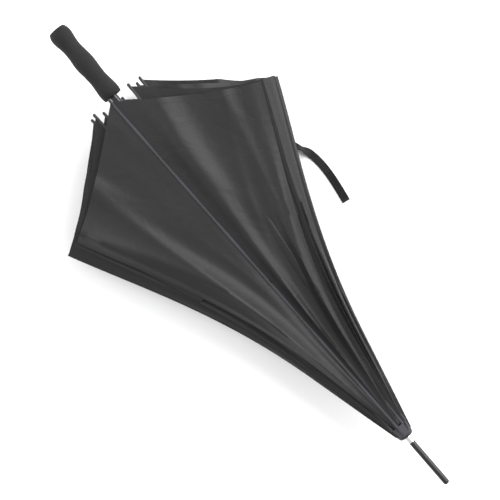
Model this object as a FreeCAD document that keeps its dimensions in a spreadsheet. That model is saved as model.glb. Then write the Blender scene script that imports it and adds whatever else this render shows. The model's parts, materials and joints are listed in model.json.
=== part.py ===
"""A long manual golf umbrella lying closed, with its canopy loose around the shaft.

The origin is the centre of the grip's butt face, on the shaft's axis. +X runs along the shaft to the ferrule,
and +Z is up. A rib's azimuth is counted about +X from +Y towards +Z.
"""

import FreeCAD, Part
import math
import os
import re

import Sketcher

VECTOR = FreeCAD.Vector
ROTATION = FreeCAD.Rotation
PLACEMENT = FreeCAD.Placement
X_WARDS = ROTATION(VECTOR(0, 1, 0), 90)
Y_WARDS = ROTATION(VECTOR(1, 0, 0), -90)

SIZES = {
    # Shaft, handle and ferrule
    "shaft_radius": 7.0,
    "shaft_wall": 0.8,
    "shaft_start": 12.0,
    "shaft_end": 908.0,
    "grip_length": 147.0,
    "grip_radius": 17.8,
    "grip_waist": 1.9,
    "core_start": 4.0,
    "core_radius": 11.0,
    "collar_radius": 6.2,
    "collar_length": 12.0,
    "ferrule_radius": 5.3,
    "ferrule_length": 93.0,
    "ferrule_round": 4.0,
    "stem_radius": 3.0,
    "stem_length": 26.0,
    "plug_length": 28.0,
    "crown_radius": 13.5,
    "crown_length": 10.0,
    "crown_round": 4.0,
    # Folding frame
    "rib_count": 8,
    "first_azimuth": 10.0,
    "notch_place": 893.0,
    "eye_clear": 0.4,
    "pivot_circle": "=slot_floor + eye_radius + eye_clear",
    "link_length": 335.0,
    "closed_angle": 3.1,
    "open_angle": 61.0,
    "rib_length": 734.0,
    "rod_radius": 1.75,
    "rod_offset": 4.0,
    "rod_start": 7.0,
    "eye_radius": 2.0,
    "link_width": 2.4,
    "link_height": 2.6,
    "wire_radius": 0.6,
    "wire_eye": 0.9,
    "rivet_radius": 0.8,
    "rivet_play": 0.05,
    "saddle_length": 8.0,
    "saddle_width": 5.6,
    "cheek": 1.0,
    "tip_radius": 2.6,
    "tip_length": 12.0,
    "tip_seat": 6.0,
    # Hubs
    "hub_radius": 14.0,
    "hub_length": 8.0,
    "hub_play": 0.15,
    "notch_sleeve": 6.0,
    "runner_sleeve": 50.0,
    "keyway_clear": 0.7,
    "keyway_top": "=shaft_radius + nose_rise + keyway_clear",
    "sleeve_wall": 1.0,
    "sleeve_radius": "=keyway_top + sleeve_wall",
    "slot_width": 3.6,
    "slot_wall": 1.6,
    "slot_floor": "=shaft_radius + slot_wall",
    "keyway_width": 4.6,
    "stop_length": 5.0,
    "stop_wall": 1.6,
    "stop_radius": "=shaft_radius + stop_wall",
    "stop_gap": 1.0,
    # Catches
    "catch_azimuth": -102.5,
    "catch_length": 40.0,
    "catch_width": 3.0,
    "leaf_thickness": 0.8,
    "leaf_clear": 0.5,
    "roll_radius": 0.55,
    "nose_rise": 2.5,
    "nose_length": 8.0,
    "window_play": 0.6,
    "lower_catch_place": 140.0,
    "upper_catch_place": 468.0,
    # Canopy
    "cloth": 0.5,
    "hem_middle": 655.0,
    "rod_clear": 20.0,
    "fold_clear": 5.0,
    "top_clear": 90.0,
    "tip_clear": 8.0,
    # Strap
    "strap_width": 14.0,
    "strap_thickness": 1.0,
    "strap_floor": -63.8,
    "patch_length": 35.0,
    "patch_thickness": 0.8,
}

# Where each slack fold of cloth lies, as the direction in the YZ plane from the middle of its two ribs.
FOLD_DIRECTIONS = (-11.0, 2.0, 181.0, 189.0, 186.0, 185.5, -6.5, -9.5)

# The strap's middle line along the ground, as points (x, y), and where it is sewn to the cloth.
STRAP_POINTS = ((398, 172), (424, 190), (457, 196), (499, 194), (541, 186))
STRAP_ROOT = (372, 156)


def start_document():
    """Makes the document and the sheet that holds the sizes."""
    document = FreeCAD.newDocument("golf_umbrella")
    sheet = document.addObject("Spreadsheet::Sheet", "Sizes")
    for row, name in enumerate(SIZES, start=1):
        sheet.set(f"A{row}", name)
        sheet.setAlias(f"B{row}", name)
    for row, value in enumerate(SIZES.values(), start=1):
        sheet.set(f"B{row}", str(value))
    document.recompute()
    return document, sheet


DOC, SHEET = start_document()
NODES = []


def size(name):
    return float(SHEET.get(name))


def bound(expression):
    """The expression with each size's name pointed at the sheet."""
    return re.sub("[a-z_]+", lambda word: f"Sizes.{word[0]}" if word[0] in SIZES else word[0], expression)


def bind(thing, **sizes):
    """Binds properties to the sheet. Base_x and the like stand for the placement's own."""
    for name, expression in sizes.items():
        path = f"Placement.Base.{name[-1]}" if name.startswith("Base_") else name
        thing.setExpression(path, bound(expression))
    return thing


def node(thing, name):
    thing.Label = name
    NODES.append(thing)
    return thing


def cylinder(name, turn=X_WARDS, **sizes):
    thing = DOC.addObject("Part::Cylinder", name)
    thing.Placement = PLACEMENT(VECTOR(), turn)
    return bind(thing, **sizes)


def block(name, **sizes):
    return bind(DOC.addObject("Part::Box", name), **sizes)


def fused(name, pieces):
    thing = DOC.addObject("Part::MultiFuse", name)
    thing.Shapes = pieces
    return thing


def cut(name, base, tool):
    thing = DOC.addObject("Part::Cut", name)
    thing.Base = base
    thing.Tool = tool
    return thing


def rounded(name, base, radius, place):
    """Rounds the circular edge of base that lies at x = place."""
    DOC.recompute()
    circles = [
        i
        for i, edge in enumerate(base.Shape.Edges, start=1)
        if abs(edge.BoundBox.XMin - place) < 0.01 and edge.BoundBox.XLength < 0.01
    ]
    thing = DOC.addObject("Part::Fillet", name)
    thing.Base = base
    thing.Edges = [(i, radius, radius) for i in circles]
    return thing


def ring(name, start, length, outer, bore):
    """A tube about the shaft's axis. Its four sizes are expressions."""
    skin = cylinder(f"{name}_outside", Radius=outer, Height=length, Base_x=start)
    hole = cylinder(f"{name}_bore", Radius=bore, Height=length, Base_x=start)
    return node(cut(f"{name}_tube", skin, hole), name)


# ---------------------------------------------------------------- directions


def radial(azimuth):
    turn = math.radians(azimuth)
    return VECTOR(0, math.cos(turn), math.sin(turn))


def azimuths():
    count = int(size("rib_count"))
    return [size("first_azimuth") + 360 * i / count for i in range(count)]


def rib_axes(azimuth):
    """A closed rib's own axes: along it to the tip, across it, and outwards."""
    lean = math.radians(size("closed_angle"))
    along = VECTOR(-math.cos(lean), 0, 0) + radial(azimuth) * math.sin(lean)
    outwards = VECTOR(math.sin(lean), 0, 0) + radial(azimuth) * math.cos(lean)
    return along, outwards.cross(along), outwards


def stretcher_axes(azimuth):
    """A closed stretcher's own axes: from the runner to the rib, across it, and outwards."""
    lean = math.radians(size("closed_angle"))
    along = VECTOR(math.cos(lean), 0, 0) + radial(azimuth) * math.sin(lean)
    outwards = VECTOR(-math.sin(lean), 0, 0) + radial(azimuth) * math.cos(lean)
    return along, outwards.cross(along), outwards


def placed(axes, origin):
    return PLACEMENT(origin, ROTATION(*axes, "XYZ"))


def runner_place(angle):
    """Where the runner's pivots are along the shaft when the ribs stand at this angle."""
    return size("notch_place") - 2 * size("link_length") * math.cos(math.radians(angle))


# ---------------------------------------------------------------- shaft, handle and ferrule


def make_shaft():
    outside = cylinder("shaft_outside", Radius="shaft_radius", Height="shaft_end - shaft_start", Base_x="shaft_start")
    inside = cylinder(
        "shaft_inside", Radius="shaft_radius - shaft_wall", Height="shaft_end - shaft_start", Base_x="shaft_start"
    )
    windows = [catch_window("lower"), catch_window("upper")]
    return node(cut("shaft_tube", cut("shaft_pipe", outside, inside), fused("shaft_windows", windows)), "shaft")


def catch_window(which):
    """The slot in the shaft that a catch's nose comes out through."""
    window = block(
        f"{which}_window",
        Length="nose_length + 2 * window_play",
        Width="catch_width + 2 * window_play",
        Height="shaft_radius",
    )
    reach = size("catch_length") - size("nose_length") - size("window_play")
    corner = VECTOR(reach, -size("catch_width") / 2 - size("window_play"), size("shaft_radius") / 2)
    window.Placement = catch_placement(which).multiply(PLACEMENT(corner, ROTATION()))
    return window


def make_grip():
    """The foam grip is turned about the shaft: a domed flare at the butt, two waists and a full hand swell."""
    length, full, waist = size("grip_length"), size("grip_radius"), size("grip_waist")
    bore = size("core_radius")
    stations = (
        (0.0, full - 2.6),
        (0.05, full + 0.4),
        (0.24, full - waist),
        (0.48, full),
        (0.75, full - waist),
        (0.97, full - 0.3),
        (1.0, full - 1.2),
    )
    swell = Part.BSplineCurve()
    swell.interpolate([VECTOR(share * length, radius, 0) for share, radius in stations])
    corners = [VECTOR(0, stations[0][1], 0), VECTOR(0, 0, 0), VECTOR(size("core_start"), 0, 0)]
    corners += [VECTOR(size("core_start"), bore, 0), VECTOR(length, bore, 0), VECTOR(length, stations[-1][1], 0)]
    edges = [swell.toShape()] + [Part.makeLine(a, b) for a, b in zip(corners, corners[1:])]
    profile = Part.Face(Part.Wire(Part.__sortEdges__(edges)))
    grip = DOC.addObject("Part::Feature", "grip_foam")
    grip.Shape = profile.revolve(VECTOR(), VECTOR(1, 0, 0), 360)
    return node(grip, "grip")


def make_core():
    """The hard sleeve under the foam, with a blind bore that holds the shaft."""
    body = cylinder("core_body", Radius="core_radius", Height="grip_length - core_start", Base_x="core_start")
    bore = cylinder("core_bore", Radius="shaft_radius", Height="grip_length", Base_x="shaft_start")
    return node(cut("core_sleeve", body, bore), "handle_core")


def make_crown():
    """The rounded cap that clamps the canopy's top."""
    end = size("shaft_end") + 1
    body = cylinder("crown_body", Radius="crown_radius", Height="crown_length", Base_x="shaft_end + 1 - crown_length")
    seat = cylinder("crown_seat", Radius="shaft_radius", Height="crown_length - 1", Base_x="shaft_end + 1 - crown_length")
    hole = cylinder("crown_hole", Radius="stem_radius", Height="crown_length", Base_x="shaft_end")
    dome = rounded("crown_dome", body, size("crown_round"), end)
    return node(cut("crown_cap", dome, fused("crown_holes", [seat, hole])), "crown")


def make_ferrule():
    """The long rounded ferrule with its stem, the bright collar behind it, and the plug that holds the stem."""
    start = "shaft_end + 1 + collar_length"
    ring("collar", "shaft_end + 1", "collar_length", "collar_radius", "stem_radius")
    ring("tip_plug", "shaft_end - plug_length", "plug_length", "shaft_radius - shaft_wall", "stem_radius")
    spike = cylinder("ferrule_spike", Radius="ferrule_radius", Height="ferrule_length", Base_x=start)
    stem = cylinder("ferrule_stem", Radius="stem_radius", Height="stem_length", Base_x=f"{start} - stem_length")
    end = size("shaft_end") + 1 + size("collar_length") + size("ferrule_length")
    node(fused("ferrule_whole", [rounded("ferrule_nose", spike, size("ferrule_round"), end), stem]), "ferrule")


# ---------------------------------------------------------------- hubs


def plane_sketch(body, name, place, turn=0.0):
    """An empty sketch across the shaft, at a place along the body's X axis."""
    sketch = body.newObject("Sketcher::SketchObject", name)
    plane = next(item for item in body.Origin.OriginFeatures if item.Role == "YZ_Plane")
    sketch.AttachmentSupport = [(plane, "")]
    sketch.MapMode = "FlatFace"
    sketch.AttachmentOffset = PLACEMENT(VECTOR(), ROTATION(VECTOR(0, 0, 1), turn))
    sketch.setExpression("AttachmentOffset.Base.z", bound(place))
    return sketch


def disc(body, name, place, radius):
    sketch = plane_sketch(body, name, place)
    sketch.addGeometry(Part.Circle(VECTOR(), VECTOR(0, 0, 1), 1))
    sketch.addConstraint(Sketcher.Constraint("Coincident", 0, 3, -1, 1))
    sketch.addConstraint(Sketcher.Constraint("Radius", 0, 1))
    sketch.setExpression("Constraints[1]", bound(radius))
    return sketch


def spoke(body, name, place, inner, outer, width, turn=0.0):
    """A rectangle that runs out along the sketch's first axis, for a radial slot."""
    sketch = plane_sketch(body, name, place, turn)
    corners = [VECTOR(1, -1, 0), VECTOR(2, -1, 0), VECTOR(2, 1, 0), VECTOR(1, 1, 0)]
    for a, b in zip(corners, corners[1:] + corners[:1]):
        sketch.addGeometry(Part.LineSegment(a, b))
    for side in range(4):
        sketch.addConstraint(Sketcher.Constraint("Coincident", side, 2, (side + 1) % 4, 1))
    for side, way in enumerate(("Horizontal", "Vertical", "Horizontal")):
        sketch.addConstraint(Sketcher.Constraint(way, side))
    sketch.addConstraint(Sketcher.Constraint("Symmetric", 0, 1, 2, 2, -1))
    sketch.addConstraint(Sketcher.Constraint("DistanceX", -1, 1, 0, 1, 1))
    sketch.addConstraint(Sketcher.Constraint("DistanceX", -1, 1, 0, 2, 2))
    sketch.addConstraint(Sketcher.Constraint("DistanceY", 0, 1, 2, 2, 2))
    for index, expression in enumerate((inner, outer, width), start=sketch.ConstraintCount - 3):
        sketch.setExpression(f"Constraints[{index}]", bound(expression))
    return sketch


def feature(body, kind, name, sketch, length):
    """Pads or pockets a sketch, and makes sure that it changed the solid."""
    DOC.recompute()
    before = body.Shape.Volume if body.Tip else 0.0
    thing = body.newObject(f"PartDesign::{kind}", name)
    thing.Profile = sketch
    thing.setExpression("Length", bound(length))
    DOC.recompute()
    if abs(body.Shape.Volume - before) < 0.1:
        raise ValueError(f"{name} changed nothing")
    return thing


def make_hub(name, sleeve, sleeve_radius, bore_radius):
    """A slotted hub with a sleeve towards the grip. Its own origin is on the shaft, level with the pivots."""
    body = DOC.addObject("PartDesign::Body", f"{name}_body")
    feature(body, "Pad", f"{name}_disc", disc(body, f"{name}_rim", "0 - hub_length / 2", "hub_radius"), "hub_length")
    barrel = disc(body, f"{name}_barrel", f"0 - hub_length / 2 - {sleeve}", sleeve_radius)
    feature(body, "Pad", f"{name}_sleeve", barrel, f"{sleeve} + hub_length / 2")
    hole = disc(body, f"{name}_hole", "hub_length / 2", bore_radius)
    feature(body, "Pocket", f"{name}_bore", hole, f"{sleeve} + hub_length")
    gap = spoke(body, f"{name}_gap", "hub_length / 2", "slot_floor", "hub_radius + 1", "slot_width")
    slot = feature(body, "Pocket", f"{name}_slot", gap, "hub_length")
    pattern = body.newObject("PartDesign::PolarPattern", f"{name}_slots")
    pattern.Originals = [slot]
    pattern.Axis = (next(item for item in body.Origin.OriginFeatures if item.Role == "X_Axis"), [""])
    pattern.setExpression("Occurrences", bound("rib_count"))
    body.Tip = pattern
    return node(body, name)


def place_hub(body, place):
    """Slides a hub along the shaft and turns its slots to the ribs."""
    spin = ROTATION(VECTOR(1, 0, 0), size("first_azimuth"))
    body.Placement = PLACEMENT(VECTOR(), spin)
    body.setExpression("Placement.Base.x", bound(place))


def make_notch():
    body = make_hub("notch", "notch_sleeve", "slot_floor", "shaft_radius")
    place_hub(body, "notch_place")
    make_wire("notch_wire", "notch_place")


# The runner's pivots, with the frame closed and with it open.
CLOSED_RUNNER = "notch_place - 2 * link_length * cos(closed_angle * 1 deg)"
OPEN_RUNNER = "notch_place - 2 * link_length * cos(open_angle * 1 deg)"


def make_runner():
    body = make_hub("runner", "runner_sleeve", "sleeve_radius", "shaft_radius + hub_play")
    turn = size("catch_azimuth") - size("first_azimuth")
    sides = ("shaft_radius - 1", "keyway_top", "keyway_width")
    groove = spoke(body, "runner_groove", "hub_length / 2", *sides, turn)
    body.Tip = feature(body, "Pocket", "runner_keyway", groove, "runner_sleeve + hub_length")
    place_hub(body, CLOSED_RUNNER)
    make_wire("runner_wire", CLOSED_RUNNER)


def make_wire(name, place):
    """The wire ring that the links of a hub are threaded on."""
    wire = DOC.addObject("Part::Torus", f"{name}_ring")
    wire.Placement = PLACEMENT(VECTOR(), X_WARDS)
    return node(bind(wire, Radius1="pivot_circle", Radius2="wire_radius", Base_x=place), name)


def make_stop():
    """The ring on the shaft that the opened runner comes up against."""
    ring("runner_stop", f"{OPEN_RUNNER} + hub_length / 2 + stop_gap", "stop_length", "stop_radius", "shaft_radius")


# ---------------------------------------------------------------- ribs and stretchers


def eye(name, place, radius):
    return cylinder(name, Y_WARDS, Radius=radius, Height="link_width", Base_x=place, Base_y="0 - link_width / 2")


def bore(name, place, radius):
    return cylinder(name, Y_WARDS, Radius=radius, Height="saddle_width", Base_x=place, Base_y="0 - saddle_width / 2")


def make_rib(number, azimuth):
    """A rod with an eye for the notch's wire and a saddle with two cheeks and a rivet for the stretcher."""
    name = f"rib_{number}"
    rod = cylinder(
        f"{name}_rod", Radius="rod_radius", Height="rib_length - rod_start", Base_x="rod_start", Base_z="rod_offset"
    )
    web = block(
        f"{name}_web",
        Length="rod_start + 3",
        Width="link_width",
        Height="rod_offset + eye_radius / 2",
        Base_x="eye_radius / 2",
        Base_y="0 - link_width / 2",
        Base_z="0 - eye_radius / 2",
    )
    root = eye(f"{name}_eye", "0", "eye_radius")
    saddle = block(
        f"{name}_saddle",
        Length="saddle_length",
        Width="saddle_width",
        Height="rod_radius * 2 + 0.4",
        Base_x="link_length - saddle_length / 2",
        Base_y="0 - saddle_width / 2",
        Base_z="rod_offset - rod_radius + 0.1",
    )
    cheeks = [
        block(
            f"{name}_cheek_{side}",
            Length="saddle_length",
            Width="cheek",
            Height="rod_offset + eye_radius",
            Base_x="link_length - saddle_length / 2",
            Base_y=edge,
            Base_z="0 - eye_radius",
        )
        for side, edge in (("left", "0 - saddle_width / 2"), ("right", "saddle_width / 2 - cheek"))
    ]
    rivet = bore(f"{name}_rivet", "link_length", "rivet_radius")
    whole = fused(f"{name}_whole", [rod, web, root, saddle, *cheeks, rivet])
    rib = cut(f"{name}_frame", whole, bore(f"{name}_threading", "0", "wire_eye"))
    rib.Placement = placed(rib_axes(azimuth), hub_pivot("notch_place", azimuth))
    node(rib, name)
    make_tip(number, azimuth)


def hub_pivot(place, azimuth):
    """A rib's pivot on the notch, with the place as a size's name, or a stretcher's with it as a number."""
    along = size(place) if isinstance(place, str) else place
    return VECTOR(along, 0, 0) + radial(azimuth) * size("pivot_circle")


def make_tip(number, azimuth):
    """The moulded tip that the canopy's corner is sewn to."""
    name = f"tip_{number}"
    barrel = cylinder(
        f"{name}_barrel", Radius="tip_radius", Height="tip_length", Base_x="rib_length - tip_seat", Base_z="rod_offset"
    )
    bulb = DOC.addObject("Part::Sphere", f"{name}_bulb")
    bind(bulb, Radius="tip_radius", Base_x="rib_length - tip_seat + tip_length", Base_z="rod_offset")
    socket = cylinder(
        f"{name}_socket", Radius="rod_radius", Height="tip_seat", Base_x="rib_length - tip_seat", Base_z="rod_offset"
    )
    tip = cut(f"{name}_cap", fused(f"{name}_solid", [barrel, bulb]), socket)
    tip.Placement = placed(rib_axes(azimuth), hub_pivot("notch_place", azimuth))
    node(tip, name)


def make_stretcher(number, azimuth):
    """The link from the runner's wire to the rib's rivet."""
    name = f"stretcher_{number}"
    bar = block(
        f"{name}_bar",
        Length="link_length",
        Width="link_width",
        Height="link_height",
        Base_y="0 - link_width / 2",
        Base_z="0 - link_height / 2",
    )
    ends = [eye(f"{name}_foot", "0", "eye_radius"), eye(f"{name}_head", "link_length", "eye_radius - 0.3")]
    holes = [
        bore(f"{name}_wire_hole", "0", "wire_eye"),
        bore(f"{name}_rivet_hole", "link_length", "rivet_radius + rivet_play"),
    ]
    whole = fused(f"{name}_whole", [bar, *ends])
    link = cut(f"{name}_link", whole, fused(f"{name}_holes", holes))
    foot = hub_pivot(runner_place(size("closed_angle")), azimuth)
    link.Placement = placed(stretcher_axes(azimuth), foot)
    node(link, name)


# ---------------------------------------------------------------- catches


def catch_placement(which):
    """A catch's own axes: from its root along the shaft, across it, and outwards through the window."""
    outwards = radial(size("catch_azimuth"))
    axes = (VECTOR(1, 0, 0), outwards.cross(VECTOR(1, 0, 0)), outwards)
    return placed(axes, VECTOR(size(f"{which}_catch_place"), 0, 0))


def make_catch(which):
    """A leaf spring inside the shaft, with a rolled root and a sloped nose that comes out through the window."""
    length, wide, long_nose = size("catch_length"), size("catch_width"), size("nose_length")
    leaf_top = size("shaft_radius") - size("shaft_wall") - size("leaf_clear")
    nose_top = size("shaft_radius") + size("nose_rise")
    low = leaf_top - size("leaf_thickness")
    outline = [
        VECTOR(0, -wide / 2, low),
        VECTOR(length, -wide / 2, low),
        VECTOR(length, -wide / 2, nose_top),
        VECTOR(length - long_nose / 3, -wide / 2, nose_top),
        VECTOR(length - long_nose, -wide / 2, leaf_top),
        VECTOR(0, -wide / 2, leaf_top),
    ]
    face = Part.Face(Part.makePolygon(outline + outline[:1]))
    middle = VECTOR(0, -wide / 2, (low + leaf_top) / 2)
    roll = Part.makeCylinder(size("roll_radius"), wide, middle, VECTOR(0, 1, 0))
    catch = DOC.addObject("Part::Feature", f"{which}_spring")
    catch.Shape = face.extrude(VECTOR(0, wide, 0)).fuse(roll)
    catch.Placement = catch_placement(which)
    return node(catch, f"{which}_catch")


# ---------------------------------------------------------------- canopy


def rod_top(azimuth):
    """The point of a closed rib's rod line that comes to the shaft's axis when the canopy opens."""
    along, _, outwards = rib_axes(azimuth)
    wide = size("pivot_circle") + size("rod_offset") * math.cos(math.radians(size("open_angle")))
    back = wide / math.sin(math.radians(size("open_angle")))
    return hub_pivot("notch_place", azimuth) + outwards * size("rod_offset") - along * back


def fold_half_angle():
    """Half the angle between two neighbouring ribs when the canopy is open and taut."""
    half = math.pi / size("rib_count")
    return math.asin(math.sin(math.radians(size("open_angle"))) * math.sin(half))


def fold_end(azimuth, direction):
    """Where the fold between a rib and the next one meets the hem. The two half panels keep their opened width."""
    pair = (azimuth, azimuth + 360 / size("rib_count"))
    tops = [rod_top(a) for a in pair]
    ways = [rib_axes(a)[0] for a in pair]
    reach, wide = size("hem_middle"), size("hem_middle") / 3
    for _ in range(40):
        roots = [top + way * (reach * math.cos(fold_half_angle())) for top, way in zip(tops, ways)]
        end = (roots[0] + roots[1]) / 2 + radial(direction) * wide
        angles = [(end - top).getAngle(way) for top, way in zip(tops, ways)]
        far = sum((end - top).Length for top in tops) / 2
        wide *= 2 * fold_half_angle() / sum(angles)
        reach *= size("hem_middle") / far
    return end


def half_panel(name, azimuth, end, outside):
    """One half of a gore, from beside its rib to beside the fold, as a thin flat plate.

    outside is +1 or -1, the side of the cloth's plane that faces out of the umbrella and has the thickness.
    """
    along, _, _ = rib_axes(azimuth)
    top = rod_top(azimuth)
    out = end - top
    length = out.dot(along)
    across = out - along * length
    wide = across.Length
    across.normalize()
    clear, fold, start = size("rod_clear"), size("fold_clear"), size("top_clear")
    tip = size("rib_length") - size("tip_clear")
    corners = ((start, clear), (tip, clear), (length, wide - fold), (start, start * wide / length - fold))
    points = [top + along * u + across * w for u, w in corners]
    panel = DOC.addObject("Part::Feature", f"{name}_cloth")
    depth = along.cross(across) * (size("cloth") * outside)
    panel.Shape = Part.Face(Part.makePolygon(points + points[:1])).extrude(depth)
    return node(panel, name)


def make_canopy():
    for number, (azimuth, direction) in enumerate(zip(azimuths(), FOLD_DIRECTIONS), start=1):
        following = number % len(FOLD_DIRECTIONS) + 1
        end = fold_end(azimuth, direction)
        half_panel(f"panel_{number}_after", azimuth, end, 1)
        half_panel(f"panel_{following}_before", azimuth + 360 / size("rib_count"), end, -1)


def make_strap():
    """The closing strap, round where it is sewn on, with its hook patch, lying on the ground by the canopy."""
    half = size("strap_width") / 2
    route = [VECTOR(x, y, 0) for x, y in (STRAP_ROOT, *STRAP_POINTS)]
    ways = [(b - a).normalize() for a, b in zip(route, route[1:])]
    ways = [ways[0]] + [(a + b).normalize() for a, b in zip(ways, ways[1:])] + [ways[-1]]
    sides = [VECTOR(-way.y, way.x, 0) * half for way in ways]
    outline = [p + s for p, s in zip(route, sides)] + [p - s for p, s in reversed(list(zip(route, sides)))]
    webbing = Part.Face(Part.makePolygon(outline + outline[:1])).extrude(VECTOR(0, 0, size("strap_thickness")))
    sewn_end = Part.makeCylinder(half, size("strap_thickness"), route[0])
    strap = DOC.addObject("Part::Feature", "strap_webbing")
    strap.Shape = webbing.fuse(sewn_end).removeSplitter()
    strap.Placement = PLACEMENT(VECTOR(0, 0, size("strap_floor")), ROTATION())
    node(strap, "strap")
    patch = block(
        "patch_block",
        Length="patch_length",
        Width="strap_width - 2",
        Height="patch_thickness",
        Base_z="strap_floor + strap_thickness",
    )
    back = route[-1] - ways[-1] * (size("patch_length") + 1)
    corner = back - sides[-1] * (1 - 1 / half)
    turn = ROTATION(VECTOR(1, 0, 0), ways[-1])
    patch.Placement = PLACEMENT(corner, turn)
    bind(patch, Base_z="strap_floor + strap_thickness")
    node(patch, "strap_patch")


# ---------------------------------------------------------------- the whole umbrella


def check():
    """Stops if any object failed, or if a node's shape is empty or broken."""
    DOC.recompute()
    failed = [item.Name for item in DOC.Objects if {"Invalid", "Error"} & set(item.State)]
    if failed:
        raise ValueError(f"these objects failed: {failed}")
    for item in NODES:
        if item.Shape.isNull() or not item.Shape.isValid() or item.Shape.Volume <= 0:
            raise ValueError(f"{item.Label} has no sound shape")


def main():
    make_shaft()
    make_grip()
    make_core()
    make_crown()
    make_ferrule()
    make_notch()
    make_runner()
    make_stop()
    for number, azimuth in enumerate(azimuths(), start=1):
        make_rib(number, azimuth)
        make_stretcher(number, azimuth)
    make_catch("lower")
    make_catch("upper")
    make_canopy()
    make_strap()
    check()
    os.makedirs("parts", exist_ok=True)
    for item in NODES:
        item.Shape.exportStep(f"parts/{item.Label}.step")
    print(f"{len(NODES)} nodes written")


main()
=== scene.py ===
import json
import math

import bmesh
import bpy
import numpy as np
from bpy.props import FloatProperty, FloatVectorProperty, IntProperty, PointerProperty
from mathutils import Matrix, Vector


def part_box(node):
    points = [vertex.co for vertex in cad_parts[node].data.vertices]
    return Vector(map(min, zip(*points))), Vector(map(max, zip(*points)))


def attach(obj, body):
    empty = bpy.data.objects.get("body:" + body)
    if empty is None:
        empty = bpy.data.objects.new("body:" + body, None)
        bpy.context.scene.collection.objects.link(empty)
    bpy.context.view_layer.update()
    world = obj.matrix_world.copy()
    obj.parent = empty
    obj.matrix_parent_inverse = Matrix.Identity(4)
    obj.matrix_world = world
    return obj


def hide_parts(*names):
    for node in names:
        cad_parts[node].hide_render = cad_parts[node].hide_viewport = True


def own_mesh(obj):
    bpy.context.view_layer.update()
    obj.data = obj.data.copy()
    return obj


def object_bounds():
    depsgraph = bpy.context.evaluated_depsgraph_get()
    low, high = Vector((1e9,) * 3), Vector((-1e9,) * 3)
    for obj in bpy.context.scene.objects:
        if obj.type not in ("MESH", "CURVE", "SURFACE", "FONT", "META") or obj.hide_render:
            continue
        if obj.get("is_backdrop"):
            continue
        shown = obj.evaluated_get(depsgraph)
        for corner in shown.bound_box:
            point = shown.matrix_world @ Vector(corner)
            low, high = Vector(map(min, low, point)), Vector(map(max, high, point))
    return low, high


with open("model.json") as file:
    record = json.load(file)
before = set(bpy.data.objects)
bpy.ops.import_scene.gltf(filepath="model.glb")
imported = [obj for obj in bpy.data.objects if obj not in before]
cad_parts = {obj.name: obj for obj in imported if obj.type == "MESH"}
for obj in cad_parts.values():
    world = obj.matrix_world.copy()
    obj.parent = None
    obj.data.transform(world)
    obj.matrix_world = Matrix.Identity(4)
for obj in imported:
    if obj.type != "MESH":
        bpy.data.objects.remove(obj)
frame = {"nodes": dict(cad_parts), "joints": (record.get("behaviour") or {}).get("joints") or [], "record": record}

bl_info = {
    "name": "Golf Umbrella",
    "version": (1, 0, 0),
    "blender": (4, 5, 0),
    "location": "3D View > Sidebar > Umbrella",
    "description": "Builds the cloth, seams, strap and finishes of a closed golf umbrella",
    "category": "Object",
}

JOINTS = {joint["name"]: joint for joint in frame["joints"]}
MAIN = JOINTS["canopy_open"]
RIBS = range(1, sum(name.startswith("rib_") for name in frame["nodes"]) + 1)
RIM_ANGLE = math.radians(50)
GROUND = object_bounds()[0].z


# ---------------------------------------------------------------- sizes and colours


class UmbrellaCanopy(bpy.types.PropertyGroup):
    """Sizes and colours of the cloth canopy."""

    middle: FloatProperty(
        name="Middle length", description="Length of a gore's middle line", default=0.655, unit="LENGTH"
    )
    gather: FloatProperty(
        name="Gather", description="Share of its cut width that a slack fold keeps near the top", default=0.54
    )
    hem_share: FloatProperty(
        name="Hem share", description="Share of its cut width that a slack fold keeps at the hem", default=0.90
    )
    wave: FloatProperty(name="Wave", description="Height of the slack waves", default=0.009, unit="LENGTH")
    thickness: FloatProperty(name="Thickness", description="The cloth's thickness", default=0.0006, unit="LENGTH")
    keep: FloatProperty(name="Taut share", description="Share of the waves that is left when open", default=0.08)
    along: IntProperty(name="Steps along", description="Mesh steps from the top to the hem", default=96)
    across: IntProperty(name="Steps across", description="Mesh steps from a rib to the fold", default=30)
    spare_lean: FloatProperty(
        name="Spare lean", description="Lean of the way that the upper spare cloth slides", default=1.05, subtype="ANGLE"
    )
    spare_keep: FloatProperty(name="Spare share", description="Share of its reach that it keeps", default=0.71)
    spare_slide: FloatProperty(
        name="Spare slide", description="How far the lower spare cloth slides out", default=0.046, unit="LENGTH"
    )
    colour: FloatVectorProperty(
        name="Colour", description="The cloth's colour", subtype="COLOR", size=3, default=(0.0085, 0.0085, 0.0090)
    )


class UmbrellaTrim(bpy.types.PropertyGroup):
    """Sizes and colours of the seams, the strap and the hard pieces."""

    seam: FloatProperty(name="Seam radius", description="Radius of the welt along a rib", default=0.0024, unit="LENGTH")
    stitch: FloatProperty(name="Stitch pitch", description="Distance between stitches", default=0.005, unit="LENGTH")
    thread: FloatProperty(name="Thread radius", description="Radius of a stitch", default=0.00035, unit="LENGTH")
    strap_width: FloatProperty(name="Strap width", description="Width of the strap", default=0.014, unit="LENGTH")
    strap_thickness: FloatProperty(
        name="Strap thickness", description="Thickness of the strap", default=0.0012, unit="LENGTH"
    )
    webbing: FloatVectorProperty(
        name="Webbing", description="The strap's colour", subtype="COLOR", size=3, default=(0.010, 0.010, 0.011)
    )
    plastic: FloatVectorProperty(
        name="Plastic", description="Colour of the moulded pieces", subtype="COLOR", size=3, default=(0.006, 0.006, 0.0065)
    )
    foam: FloatVectorProperty(
        name="Foam", description="The grip's colour", subtype="COLOR", size=3, default=(0.0045, 0.0045, 0.005)
    )
    steel: FloatVectorProperty(
        name="Steel", description="The shaft's colour", subtype="COLOR", size=3, default=(0.045, 0.045, 0.048)
    )


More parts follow.
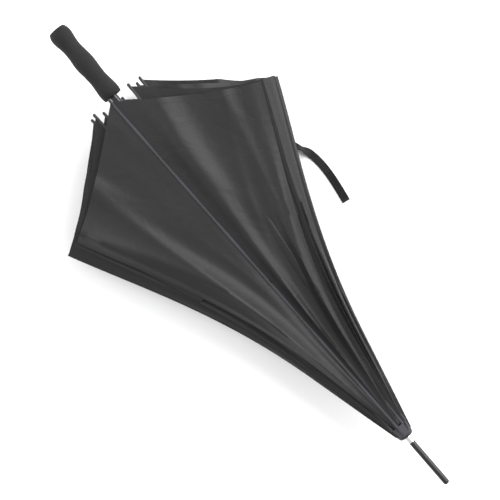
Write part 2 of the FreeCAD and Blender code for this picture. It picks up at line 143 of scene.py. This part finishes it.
class UmbrellaStage(bpy.types.PropertyGroup):
    """The camera's view and the lights."""

    width: FloatProperty(name="View width", description="Width that the camera sees", default=0.847, unit="LENGTH")
    distance: FloatProperty(name="Distance", description="The camera's height", default=3.2, unit="LENGTH")
    turn: FloatProperty(name="Turn", description="Turn of the view about the vertical", default=0.8585, subtype="ANGLE")
    aim_along: FloatProperty(name="Aim along", description="The view's middle along the shaft", default=0.496, unit="LENGTH")
    aim_across: FloatProperty(name="Aim across", description="The view's middle across the shaft", default=0.005, unit="LENGTH")
    key: FloatProperty(name="Key light", description="Power of the key light in watts", default=105.0)
    fill: FloatProperty(name="Fill light", description="Power of the fill light in watts", default=40.0)


def canopy_sizes():
    return bpy.context.scene.umbrella_canopy


def trim_sizes():
    return bpy.context.scene.umbrella_trim


# ---------------------------------------------------------------- materials


class Nodes:
    """Adds and links the nodes of one material."""

    def __init__(self, name):
        self.material = bpy.data.materials.new(name)
        self.material.use_nodes = True
        self.tree = self.material.node_tree
        self.shader = self.tree.nodes["Principled BSDF"]

    def add(self, kind, inputs=None, **settings):
        made = self.tree.nodes.new(kind)
        for key, value in settings.items():
            setattr(made, key, value)
        for key, value in (inputs or {}).items():
            if isinstance(value, bpy.types.NodeSocket):
                self.tree.links.new(value, made.inputs[key])
            else:
                made.inputs[key].default_value = value
        return made

    def join(self, output, socket):
        self.tree.links.new(output, self.shader.inputs[socket])

    def fix(self, **values):
        for name, value in values.items():
            self.shader.inputs[name.replace("_", " ")].default_value = value


def mottled(made, coordinates, colour, scale, spread):
    """A colour that varies a little over the surface."""
    noise = made.add("ShaderNodeTexNoise", {"Vector": coordinates, "Scale": scale, "Detail": 4.0})
    ramp = made.add("ShaderNodeValToRGB", {"Fac": noise.outputs["Fac"]})
    ramp.color_ramp.elements[0].position = 0.3
    ramp.color_ramp.elements[1].position = 0.7
    ramp.color_ramp.elements[0].color = (*[c * (1 - spread) for c in colour], 1)
    ramp.color_ramp.elements[1].color = (*[c * (1 + spread) for c in colour], 1)
    made.join(ramp.outputs["Color"], "Base Color")
    return noise


def cloth_finish():
    """Satin plain-weave polyester: a fine weave, faint creases and a soft sheen."""
    made = Nodes("canopy_cloth")
    sizes = canopy_sizes()
    place = made.add("ShaderNodeTexCoord").outputs["Object"]
    mottled(made, place, sizes.colour, 9.0, 0.16)
    layout = made.add("ShaderNodeUVMap", uv_map="cut").outputs["UV"]
    bands = dict(wave_type="BANDS", wave_profile="SIN")
    warp = made.add("ShaderNodeTexWave", {"Vector": layout, "Scale": 420.0}, bands_direction="X", **bands)
    weft = made.add("ShaderNodeTexWave", {"Vector": layout, "Scale": 420.0}, bands_direction="Y", **bands)
    weave = made.add("ShaderNodeMath", {0: warp.outputs["Fac"], 1: weft.outputs["Fac"]}, operation="ADD")
    creases = made.add("ShaderNodeTexNoise", {"Vector": place, "Scale": 26.0, "Detail": 5.0, "Distortion": 0.8})
    fine = made.add(
        "ShaderNodeBump", {"Height": weave.outputs["Value"], "Strength": 0.06, "Distance": 0.0003}
    )
    bump = made.add(
        "ShaderNodeBump",
        {"Height": creases.outputs["Fac"], "Strength": 0.35, "Distance": 0.004, "Normal": fine.outputs["Normal"]},
    )
    made.join(bump.outputs["Normal"], "Normal")
    made.fix(Roughness=0.52, Sheen_Weight=0.02, Sheen_Roughness=0.4, Specular_IOR_Level=0.34)
    return made.material


def webbing_finish():
    """Flat woven tape with a rib across it."""
    made = Nodes("strap_webbing")
    place = made.add("ShaderNodeTexCoord").outputs["Object"]
    mottled(made, place, trim_sizes().webbing, 60.0, 0.3)
    layout = made.add("ShaderNodeUVMap", uv_map="cut").outputs["UV"]
    ribs = made.add("ShaderNodeTexWave", {"Vector": layout, "Scale": 130.0}, wave_type="BANDS", bands_direction="Y")
    bump = made.add("ShaderNodeBump", {"Height": ribs.outputs["Fac"], "Strength": 0.5, "Distance": 0.0004})
    made.join(bump.outputs["Normal"], "Normal")
    made.fix(Roughness=0.8, Sheen_Weight=0.05, Specular_IOR_Level=0.3)
    return made.material


def hook_finish():
    """Dense hook tape."""
    made = Nodes("strap_hook")
    place = made.add("ShaderNodeTexCoord").outputs["Object"]
    mottled(made, place, trim_sizes().webbing, 300.0, 0.5)
    hooks = made.add("ShaderNodeTexVoronoi", {"Vector": place, "Scale": 900.0})
    bump = made.add("ShaderNodeBump", {"Height": hooks.outputs["Distance"], "Strength": 0.8, "Distance": 0.0008})
    made.join(bump.outputs["Normal"], "Normal")
    made.fix(Roughness=0.9, Specular_IOR_Level=0.3)
    return made.material


def foam_finish():
    """Fine closed-cell foam with scattered pores."""
    made = Nodes("grip_foam")
    place = made.add("ShaderNodeTexCoord").outputs["Object"]
    mottled(made, place, trim_sizes().foam, 90.0, 0.25)
    cells = made.add("ShaderNodeTexVoronoi", {"Vector": place, "Scale": 1400.0})
    grain = made.add("ShaderNodeTexNoise", {"Vector": place, "Scale": 420.0, "Detail": 6.0})
    both = made.add("ShaderNodeMath", {0: cells.outputs["Distance"], 1: grain.outputs["Fac"]}, operation="ADD")
    bump = made.add("ShaderNodeBump", {"Height": both.outputs["Value"], "Strength": 0.45, "Distance": 0.0006})
    made.join(bump.outputs["Normal"], "Normal")
    made.fix(Roughness=0.72, Specular_IOR_Level=0.35)
    return made.material


def plastic_finish(name, roughness):
    """Moulded plastic with a faint grain and handling wear."""
    made = Nodes(name)
    place = made.add("ShaderNodeTexCoord").outputs["Object"]
    noise = mottled(made, place, trim_sizes().plastic, 40.0, 0.2)
    wear = made.add("ShaderNodeMapRange", {"Value": noise.outputs["Fac"], "To Min": roughness - 0.06, "To Max": roughness + 0.1})
    made.join(wear.outputs["Result"], "Roughness")
    grain = made.add("ShaderNodeTexNoise", {"Vector": place, "Scale": 700.0, "Detail": 2.0})
    bump = made.add("ShaderNodeBump", {"Height": grain.outputs["Fac"], "Strength": 0.12, "Distance": 0.0003})
    made.join(bump.outputs["Normal"], "Normal")
    return made.material


def metal_finish(name, colour, roughness, brushed):
    """Metal with fine marks, drawn out along the shaft where it is brushed."""
    made = Nodes(name)
    place = made.add("ShaderNodeTexCoord").outputs["Object"]
    stretch = (12.0, 900.0, 900.0) if brushed else (90.0, 90.0, 90.0)
    turned = made.add("ShaderNodeMapping", {"Vector": place, "Scale": stretch})
    marks = mottled(made, turned.outputs["Vector"], colour, 1.0, 0.08)
    rough = made.add("ShaderNodeMapRange", {"Value": marks.outputs["Fac"], "To Min": roughness - 0.05, "To Max": roughness + 0.1})
    made.join(rough.outputs["Result"], "Roughness")
    made.fix(Metallic=1.0)
    return made.material


def paint_finish():
    """Black baked paint on the thin frame."""
    made = Nodes("frame_paint")
    place = made.add("ShaderNodeTexCoord").outputs["Object"]
    mottled(made, place, trim_sizes().plastic, 120.0, 0.3)
    made.fix(Roughness=0.35, Coat_Weight=0.3)
    return made.material


# ---------------------------------------------------------------- meshes


def mesh_object(name, points, faces, material, uv=None):
    """An object at the origin with smooth faces. uv gives each vertex its place on the cut cloth, in metres."""
    mesh = bpy.data.meshes.new(name)
    mesh.from_pydata([tuple(point) for point in points], [], faces)
    if uv is not None:
        layer = mesh.uv_layers.new(name="cut")
        for loop in mesh.loops:
            layer.data[loop.index].uv = uv[loop.vertex_index]
    mesh.materials.append(material)
    mesh.shade_smooth()
    thing = bpy.data.objects.new(name, mesh)
    bpy.context.scene.collection.objects.link(thing)
    return thing


def grid_faces(rows, columns, closed=False):
    wide = columns if closed else columns - 1
    return [
        (r * columns + c, r * columns + (c + 1) % columns, (r + 1) * columns + (c + 1) % columns, (r + 1) * columns + c)
        for r in range(rows - 1)
        for c in range(wide)
    ]


def thicken(thing, thickness):
    """Gives a sheet its thickness about its middle, as a closed mesh with outward faces."""
    solid = thing.modifiers.new("thickness", "SOLIDIFY")
    solid.thickness = thickness
    solid.offset = 0.0
    finish(thing)


def finish(thing):
    """Turns the object's modifiers into its mesh and points its faces outwards."""
    graph = bpy.context.evaluated_depsgraph_get()
    mesh = bpy.data.meshes.new_from_object(thing.evaluated_get(graph))
    thing.modifiers.clear()
    thing.data = mesh
    working = bmesh.new()
    working.from_mesh(mesh)
    bmesh.ops.recalc_face_normals(working, faces=working.faces)
    working.to_mesh(mesh)
    working.free()
    mesh.shade_smooth()
    mesh.set_sharp_from_angle(angle=RIM_ANGLE)


def tube(name, line, radii, material, sides=14):
    """A closed round tube along a line of points."""
    rows = []
    for i, (point, radius) in enumerate(zip(line, radii)):
        way = (line[min(i + 1, len(line) - 1)] - line[max(i - 1, 0)]).normalized()
        side = way.cross(Vector((0.13, 0.27, 0.95))).normalized()
        other = way.cross(side)
        rows += [
            point + (side * math.cos(turn) + other * math.sin(turn)) * radius
            for turn in (2 * math.pi * k / sides for k in range(sides))
        ]
    faces = grid_faces(len(line), sides, closed=True)
    faces += [tuple(range(sides)), tuple(reversed(range(len(rows) - sides, len(rows))))]
    thing = mesh_object(name, rows, faces, material)
    finish(thing)
    return thing


# ---------------------------------------------------------------- the canopy's geometry


class Side:
    """One half of a gore: its hinge line along the rib, and where it lies closed."""

    def __init__(self, rib, side):
        self.body = f"panel_{rib}_{side}"
        joint = JOINTS[f"{self.body}_spread"]
        self.top = Vector(joint["pos_m"])
        self.along = -Vector(joint["axis"])
        radial = Vector((0, self.along.y, self.along.z)).normalized()
        closed = math.asin(self.along.dot(radial))
        opened = closed + math.radians(max(MAIN["range_deg"]))
        self.outwards = Vector((math.sin(closed), 0, 0)) + radial * math.cos(closed)
        self.sideways = self.outwards.cross(self.along)
        step = 2 * math.pi / len(RIBS)
        spread = math.pi / 2 + math.atan(math.cos(opened) * (1 - math.cos(step)) / math.sin(step))
        travel = math.radians(max(joint["range_deg"], key=abs))
        turn = (spread if side == "after" else -spread) - travel
        self.across = self.outwards * math.cos(turn) + self.sideways * math.sin(turn)
        self.normal = self.along.cross(self.across)
        self.outside = self.normal if side == "after" else -self.normal
        self.half_angle = math.asin(math.sin(opened) * math.sin(step / 2))


def fold_end(first, second, middle):
    """Where the two halves' planes and the hem's middle meet."""
    way = first.normal.cross(second.normal).normalized()
    if way.dot(first.along) < 0:
        way.negate()
    gap = second.top - first.top
    start = first.top + first.across * (gap.dot(second.normal) / first.across.dot(second.normal))
    reach = middle
    for _ in range(20):
        end = start + way * reach
        far = ((end - first.top).length + (end - second.top).length) / 2
        reach += middle - far
    return start + way * reach


def gore(rib):
    """The two halves of the gore after a rib, with their shared fold's end."""
    first, second = Side(rib, "after"), Side(rib % len(RIBS) + 1, "before")
    end = fold_end(first, second, canopy_sizes().middle)
    for half in (first, second):
        out = end - half.top
        half.fold_angle = math.atan2(out.dot(half.across), out.dot(half.along))
        half.fold_length = out.length
        half.rib_length = (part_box(f"tip_{half.body.split('_')[1]}")[0].x - half.top.x) / half.along.x - 0.006
    return first, second, end


def smooth(x):
    x = np.clip(x, 0, 1)
    return x * x * (3 - 2 * x)


def gathered(share, number):
    """How much of its cut width the slack cloth keeps at a share of its length."""
    sizes = canopy_sizes()
    hem = sizes.hem_share - 0.03 * math.cos(2.1 * number)
    top = sizes.gather + 0.04 * math.sin(1.7 * number)
    return top + (hem - top) * smooth((share - 0.28) / 0.78) ** 0.9


def crease(x):
    """A row of sharp-crested folds, one to each unit of x, between -1 and 1."""
    return 1 - 2 * (np.sin(math.pi * x) ** 2 + 0.004) ** 0.42


def slack(share, across, number):
    """How far the slack cloth bulges out of a fold's plane, from 0, as a share of the wave's height."""
    swing = 0.8 * np.sin(2 * math.pi * (0.8 * across - 0.5 * share + 0.31 * number))
    folds = 0.60 * crease(1.7 * across + 0.35 * share + 0.23 * number)
    pull = 0.34 * crease(2.4 * (across - 0.6 * share) + 0.41 * number) * smooth((share - 0.35) / 0.4)
    cross = 0.30 * crease(1.3 * share + 0.5 * across + 0.43 * number) * smooth((share - 0.45) / 0.3)
    total = 1.4 + swing + folds + pull + cross
    bulge = 0.3 + np.log1p(np.exp(6 * (total - 0.3))) / 6
    return bulge * smooth(across / 0.3) * smooth((1 - across) / 0.10) * smooth((share - 0.03) / 0.42)


# ---------------------------------------------------------------- operators


class UMBRELLA_OT_canopy(bpy.types.Operator):
    """Makes the sixteen half gores of the slack canopy"""

    bl_idname = "umbrella.canopy"
    bl_label = "Canopy"

    def execute(self, context):
        material = cloth_finish()
        for rib in RIBS:
            first, second, _ = gore(rib)
            for half in (first, second):
                half_gore(half, rib, material)
                spare_cloth(half, rib, material)
        return {"FINISHED"}


def hem_radius(half, across):
    """How far the curved hem is from the half gore's top, at a share of the angle from the rib to the fold."""
    return half.fold_length + (half.rib_length - half.fold_length) * (1 - across) ** 2


def cloth_point(half, number, share, across):
    """Where the closed cloth lies at a share of its length and of its width, and that point on the flat cut."""
    sizes = canopy_sizes()
    radius, turn = share * hem_radius(half, across), across * half.fold_angle
    length, width = radius * math.cos(turn), radius * math.sin(turn)
    kept = float(gathered(length / half.fold_length, number))
    height = sizes.wave if half.outside.z > 0 else sizes.wave * 0.12
    bulge = half.outside * (height * float(slack(share, across, number)))
    place = half.top + half.along * length + half.across * (width * kept) + bulge
    place.z = max(place.z, GROUND + sizes.thickness)
    return place, (width, length)


def half_gore(half, number, material):
    """One half gore: it hangs from its rib's line, meets its partner at the fold and ends in a curved hem."""
    sizes = canopy_sizes()
    rows, columns = sizes.along + 1, sizes.across + 1
    found = [
        cloth_point(half, number, share, across)
        for share in np.linspace(0.012, 1, rows)
        for across in np.linspace(0, 1, columns)
    ]
    points, cut = [place for place, _ in found], [flat for _, flat in found]
    thing = mesh_object(f"cloth_{half.body}", points, grid_faces(rows, columns), material, cut)
    thicken(thing, sizes.thickness)
    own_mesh(thing)
    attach(thing, half.body)
    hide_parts(half.body)


def spare_cloth(half, number, material):
    """The cloth that a closed half gore tucks in beside its fold, and that slides out as the canopy opens."""
    sizes = canopy_sizes()
    lean = half.across * math.cos(sizes.spare_lean) - half.along * math.sin(sizes.spare_lean)
    far = 10.0
    for name, low, high, depth, way, anchor, keep in (
        ("upper", 0.05, 0.67, 0.0010, lean, half.top, sizes.spare_keep),
        ("lower", 0.655, 1.0, 0.0022, half.across, half.top + half.across * far, 1 - sizes.spare_slide / far),
    ):
        points, cut = [], []
        rows, columns = 49, 7
        for share in np.linspace(low, high, rows):
            length = share * half.fold_length * math.cos(half.fold_angle)
            edge = length * math.tan(half.fold_angle)
            inner = edge * float(gathered(length / half.fold_length, number)) - 0.006
            for width in np.linspace(inner, edge, columns):
                opened = half.top + half.along * length + half.across * width - half.outside * depth
                points.append(opened + way * ((opened - anchor).dot(way) * (1 / keep - 1)))
                cut.append((width, length))
        thing = mesh_object(f"spare_{half.body}_{name}", points, grid_faces(rows, columns), material, cut)
        thicken(thing, sizes.thickness)
        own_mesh(thing)
        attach(thing, half.body)


class UMBRELLA_OT_seams(bpy.types.Operator):
    """Makes the welt of cloth over each rib and the small gathered cap at the top"""

    bl_idname = "umbrella.seams"
    bl_label = "Seams and cap"

    def execute(self, context):
        material = bpy.data.materials["canopy_cloth"]
        radius = trim_sizes().seam
        for rib in RIBS:
            half = gore(rib)[0]
            shares = np.linspace(0.03, 1.0, 60)
            line = [half.top + half.along * (half.rib_length * share) for share in shares]
            radii = [radius * (1 + 0.10 * math.sin(40 * share + rib)) for share in shares]
            welt = tube(f"seam_{rib}", line, radii, material)
            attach(welt, f"rib_{rib}")
        cap = turned_cap(material)
        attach(cap, "shaft")
        return {"FINISHED"}


def turned_cap(material):
    """A pleated cap of cloth that closes the canopy's top behind the collar."""
    low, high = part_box("crown")
    radius = (high.y - low.y) / 2
    back, front = low.x - 0.014, high.x + 0.0008
    profile = (
        (back, radius * 1.16),
        (low.x - 0.004, radius * 1.10),
        (low.x + 0.004, radius * 1.05),
        (front - 0.0025, radius * 0.90),
        (front - 0.0006, radius * 0.70),
        (front, radius * 0.45),
    )
    sides = 96
    points = []
    for x, r in profile:
        pleat = 0.03 if r > radius else 0.012
        for k in range(sides):
            turn = 2 * math.pi * k / sides
            wide = r * (1 + pleat * math.cos(8 * turn - 1.2) + pleat / 2 * math.cos(24 * turn))
            points.append((x, wide * math.cos(turn), wide * math.sin(turn)))
    thing = mesh_object("canopy_cap", points, grid_faces(len(profile), sides, closed=True), material, [(0, 0)] * len(points))
    smoother = thing.modifiers.new("smooth", "SUBSURF")
    smoother.levels = smoother.render_levels = 2
    finish(thing)
    thicken(thing, canopy_sizes().thickness)
    return thing


class UMBRELLA_OT_strap(bpy.types.Operator):
    """Makes the loose closing strap and its hook patch"""

    bl_idname = "umbrella.strap"
    bl_label = "Strap"

    def execute(self, context):
        sizes = trim_sizes()
        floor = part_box("strap")[0].z
        route = strap_route(floor + sizes.strap_thickness / 2)
        webbing = webbing_finish()
        strap = strap_strip("strap_tape", route, sizes.strap_width, twisted=True, material=webbing)
        thicken(strap, sizes.strap_thickness)
        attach(strap, "strap")
        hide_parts("strap")
        raised = [point + Vector((0, 0, sizes.strap_thickness)) for point in route[-14:-1]]
        patch = strap_strip("strap_hooks", raised, sizes.strap_width * 0.86, twisted=False, material=hook_finish())
        thicken(patch, sizes.strap_thickness * 0.7)
        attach(patch, "strap")
        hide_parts("strap_patch")
        return {"FINISHED"}


def strap_route(height):
    """The strap's middle line, as a smooth curve through points chosen along it."""
    chosen = ((0.372, 0.156), (0.398, 0.172), (0.424, 0.190), (0.457, 0.196), (0.499, 0.194), (0.541, 0.186))
    curve = bpy.data.curves.new("strap_line", "CURVE")
    curve.dimensions = "3D"
    spline = curve.splines.new("NURBS")
    spline.points.add(len(chosen) - 1)
    for point, (x, y) in zip(spline.points, chosen):
        point.co = (x, y, height, 1)
    spline.order_u = 3
    spline.use_endpoint_u = True
    curve.resolution_u = 12
    thing = bpy.data.objects.new("strap_line", curve)
    mesh = bpy.data.meshes.new_from_object(thing)
    line = [vertex.co.copy() for vertex in mesh.vertices]
    bpy.data.objects.remove(thing)
    return line


def strap_strip(name, route, width, twisted, material):
    """A flat strip along a line. A twisted one stands on its edge for a short stretch."""
    points, cut, run = [], [], 0.0
    for i, point in enumerate(route):
        way = (route[min(i + 1, len(route) - 1)] - route[max(i - 1, 0)]).normalized()
        side = way.cross(Vector((0, 0, 1))).normalized()
        share = i / (len(route) - 1)
        turn = math.radians(62) * math.exp(-(((share - 0.34) / 0.10) ** 2)) if twisted else 0.0
        raise_by = abs(math.sin(turn)) * width / 2
        for k in range(5):
            offset = (k / 4 - 0.5) * width
            wide = side * (offset * math.cos(turn))
            tall = Vector((0, 0, offset * math.sin(turn) + raise_by))
            points.append(point + wide + tall)
            cut.append((offset, run))
        run += (route[min(i + 1, len(route) - 1)] - point).length
    return mesh_object(name, points, grid_faces(len(route), 5), material, cut)


def stitch_tree(material):
    """A node tree that lays small stitches along the object's line."""
    tree = bpy.data.node_groups.new("stitches", "GeometryNodeTree")
    tree.interface.new_socket("Geometry", in_out="INPUT", socket_type="NodeSocketGeometry")
    tree.interface.new_socket("Pitch", in_out="INPUT", socket_type="NodeSocketFloat")
    tree.interface.new_socket("Thread", in_out="INPUT", socket_type="NodeSocketFloat")
    tree.interface.new_socket("Geometry", in_out="OUTPUT", socket_type="NodeSocketGeometry")
    start, stop = tree.nodes.new("NodeGroupInput"), tree.nodes.new("NodeGroupOutput")
    line = tree.nodes.new("GeometryNodeMeshToCurve")
    spaced = tree.nodes.new("GeometryNodeCurveToPoints")
    spaced.mode = "LENGTH"
    thread = tree.nodes.new("GeometryNodeMeshCylinder")
    thread.inputs["Vertices"].default_value = 6
    longer = tree.nodes.new("ShaderNodeMath")
    longer.operation = "MULTIPLY"
    longer.inputs[1].default_value = 0.6
    placed = tree.nodes.new("GeometryNodeInstanceOnPoints")
    real = tree.nodes.new("GeometryNodeRealizeInstances")
    coloured = tree.nodes.new("GeometryNodeSetMaterial")
    coloured.inputs["Material"].default_value = material
    for a, b in (
        (start.outputs["Geometry"], line.inputs["Mesh"]),
        (line.outputs["Curve"], spaced.inputs["Curve"]),
        (start.outputs["Pitch"], spaced.inputs["Length"]),
        (start.outputs["Thread"], thread.inputs["Radius"]),
        (start.outputs["Pitch"], longer.inputs[0]),
        (longer.outputs["Value"], thread.inputs["Depth"]),
        (spaced.outputs["Points"], placed.inputs["Points"]),
        (spaced.outputs["Rotation"], placed.inputs["Rotation"]),
        (thread.outputs["Mesh"], placed.inputs["Instance"]),
        (placed.outputs["Instances"], real.inputs["Geometry"]),
        (real.outputs["Geometry"], coloured.inputs["Geometry"]),
        (coloured.outputs["Geometry"], stop.inputs["Geometry"]),
    ):
        tree.links.new(a, b)
    return tree


def sew(name, lines):
    """A mesh of small stitches along some lines of points."""
    sizes = trim_sizes()
    tree = bpy.data.node_groups.get("stitches") or stitch_tree(bpy.data.materials["strap_webbing"])
    sockets = {item.name: item.identifier for item in tree.interface.items_tree if item.in_out == "INPUT"}
    points, edges = [], []
    for line in lines:
        edges += [(len(points) + i, len(points) + i + 1) for i in range(len(line) - 1)]
        points += [tuple(point) for point in line]
    mesh = bpy.data.meshes.new(name)
    mesh.from_pydata(points, edges, [])
    thing = bpy.data.objects.new(name, mesh)
    bpy.context.scene.collection.objects.link(thing)
    rows = thing.modifiers.new("stitches", "NODES")
    rows.node_group = tree
    rows[sockets["Pitch"]] = sizes.stitch
    rows[sockets["Thread"]] = sizes.thread
    finish(thing)
    return thing


class UMBRELLA_OT_stitches(bpy.types.Operator):
    """Sews a row of stitches along each side of every rib's seam, and one along each hem"""

    bl_idname = "umbrella.stitches"
    bl_label = "Stitches"

    def execute(self, context):
        canopy, seam = canopy_sizes(), trim_sizes().seam
        for rib in RIBS:
            first, second, _ = gore(rib)
            lines = []
            for side in (-1, 1):
                off = first.outwards * seam * 0.86 + first.sideways * (side * seam * 0.55)
                lines.append([first.top + off + first.along * (first.rib_length * share) for share in (0.05, 0.99)])
            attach(sew(f"stitches_{rib}", lines), f"rib_{rib}")
            for half in (first, second):
                edge = [cloth_point(half, rib, 0.984, across)[0] for across in np.linspace(0.02, 0.98, 50)]
                hem = sew(f"hem_{half.body}", [[point + half.outside * canopy.thickness for point in edge]])
                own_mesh(hem)
                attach(hem, half.body)
        return {"FINISHED"}


class UMBRELLA_OT_finishes(bpy.types.Operator):
    """Gives the hard pieces their finishes"""

    bl_idname = "umbrella.finishes"
    bl_label = "Finishes"

    def execute(self, context):
        sizes = trim_sizes()
        finishes = {
            "shaft_steel": metal_finish("shaft_steel", sizes.steel, 0.26, True),
            "wire_steel": metal_finish("wire_steel", (0.45, 0.45, 0.46), 0.35, False),
            "collar_chrome": metal_finish("collar_chrome", (0.78, 0.78, 0.79), 0.12, False),
            "grip_foam": foam_finish(),
            "cap_plastic": plastic_finish("cap_plastic", 0.42),
            "core_plastic": plastic_finish("core_plastic", 0.5),
            "hub_plastic": plastic_finish("hub_plastic", 0.32),
            "ferrule_plastic": plastic_finish("ferrule_plastic", 0.30),
            "frame_paint": paint_finish(),
        }
        for part in frame["record"]["subparts"]:
            thing = frame["nodes"][part["node"]]
            if part["material_slot"] in finishes:
                for slot in thing.material_slots:
                    slot.material = finishes[part["material_slot"]]
        return {"FINISHED"}


class UMBRELLA_OT_stage(bpy.types.Operator):
    """Makes the floor, the soft lights and the camera"""

    bl_idname = "umbrella.stage"
    bl_label = "Stage"

    def execute(self, context):
        sizes = context.scene.umbrella_stage
        floor_mesh(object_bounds()[0].z)
        world = bpy.data.worlds.new("studio")
        context.scene.world = world
        world.use_nodes = True
        world.node_tree.nodes["Background"].inputs["Color"].default_value = (1, 1, 1, 1)
        world.node_tree.nodes["Background"].inputs["Strength"].default_value = 0.84
        area_light("key", sizes.key, 2.4, Vector((0.45, 2.1, 1.6)))
        area_light("fill", sizes.fill, 1.6, Vector((-1.2, -1.2, 1.6)))
        add_camera(context, sizes)
        context.scene.view_settings.view_transform = "Standard"
        return {"FINISHED"}


def floor_mesh(height):
    half = 6.0
    corners = [(-half, -half, height), (half, -half, height), (half, half, height), (-half, half, height)]
    made = Nodes("floor")
    place = made.add("ShaderNodeTexCoord").outputs["Object"]
    mottled(made, place, (0.93, 0.93, 0.93), 2.0, 0.004)
    made.fix(Roughness=0.9, Specular_IOR_Level=0.2)
    mesh_object("floor", corners, [(0, 1, 2, 3)], made.material)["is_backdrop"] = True


def area_light(name, power, width, place):
    data = bpy.data.lights.new(name, "AREA")
    data.energy = power
    data.size = width
    light = bpy.data.objects.new(name, data)
    bpy.context.scene.collection.objects.link(light)
    light.location = place
    light.rotation_euler = (place - Vector((0.5, 0, 0))).to_track_quat("Z", "Y").to_euler()


def add_camera(context, sizes):
    data = bpy.data.cameras.new("camera")
    data.sensor_width = 36.0
    data.lens = data.sensor_width * sizes.distance / sizes.width
    camera = bpy.data.objects.new("camera", data)
    context.scene.collection.objects.link(camera)
    camera.matrix_world = Matrix.Translation((sizes.aim_along, sizes.aim_across, sizes.distance)) @ Matrix.Rotation(
        sizes.turn, 4, "Z"
    )
    context.scene.camera = camera


class UMBRELLA_PT_panel(bpy.types.Panel):
    """Lists the umbrella's pieces"""

    bl_label = "Umbrella"
    bl_space_type = "VIEW_3D"
    bl_region_type = "UI"
    bl_category = "Umbrella"

    def draw(self, context):
        for group in (context.scene.umbrella_canopy, context.scene.umbrella_trim, context.scene.umbrella_stage):
            for name in group.__annotations__:
                self.layout.prop(group, name)
        for operator in OPERATORS:
            self.layout.operator(operator.bl_idname)


GROUPS = (UmbrellaCanopy, UmbrellaTrim, UmbrellaStage)
OPERATORS = (
    UMBRELLA_OT_stage,
    UMBRELLA_OT_finishes,
    UMBRELLA_OT_canopy,
    UMBRELLA_OT_seams,
    UMBRELLA_OT_strap,
    UMBRELLA_OT_stitches,
)


def register():
    for item in (*GROUPS, *OPERATORS, UMBRELLA_PT_panel):
        bpy.utils.register_class(item)
    bpy.types.Scene.umbrella_canopy = PointerProperty(type=UmbrellaCanopy)
    bpy.types.Scene.umbrella_trim = PointerProperty(type=UmbrellaTrim)
    bpy.types.Scene.umbrella_stage = PointerProperty(type=UmbrellaStage)


def unregister():
    del bpy.types.Scene.umbrella_canopy
    del bpy.types.Scene.umbrella_trim
    del bpy.types.Scene.umbrella_stage
    for item in reversed((*GROUPS, *OPERATORS, UMBRELLA_PT_panel)):
        bpy.utils.unregister_class(item)


def main():
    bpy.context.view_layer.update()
    register()
    for operator in OPERATORS:
        group, name = operator.bl_idname.split(".")
        getattr(getattr(bpy.ops, group), name)()


if __name__ == "__main__":
    main()
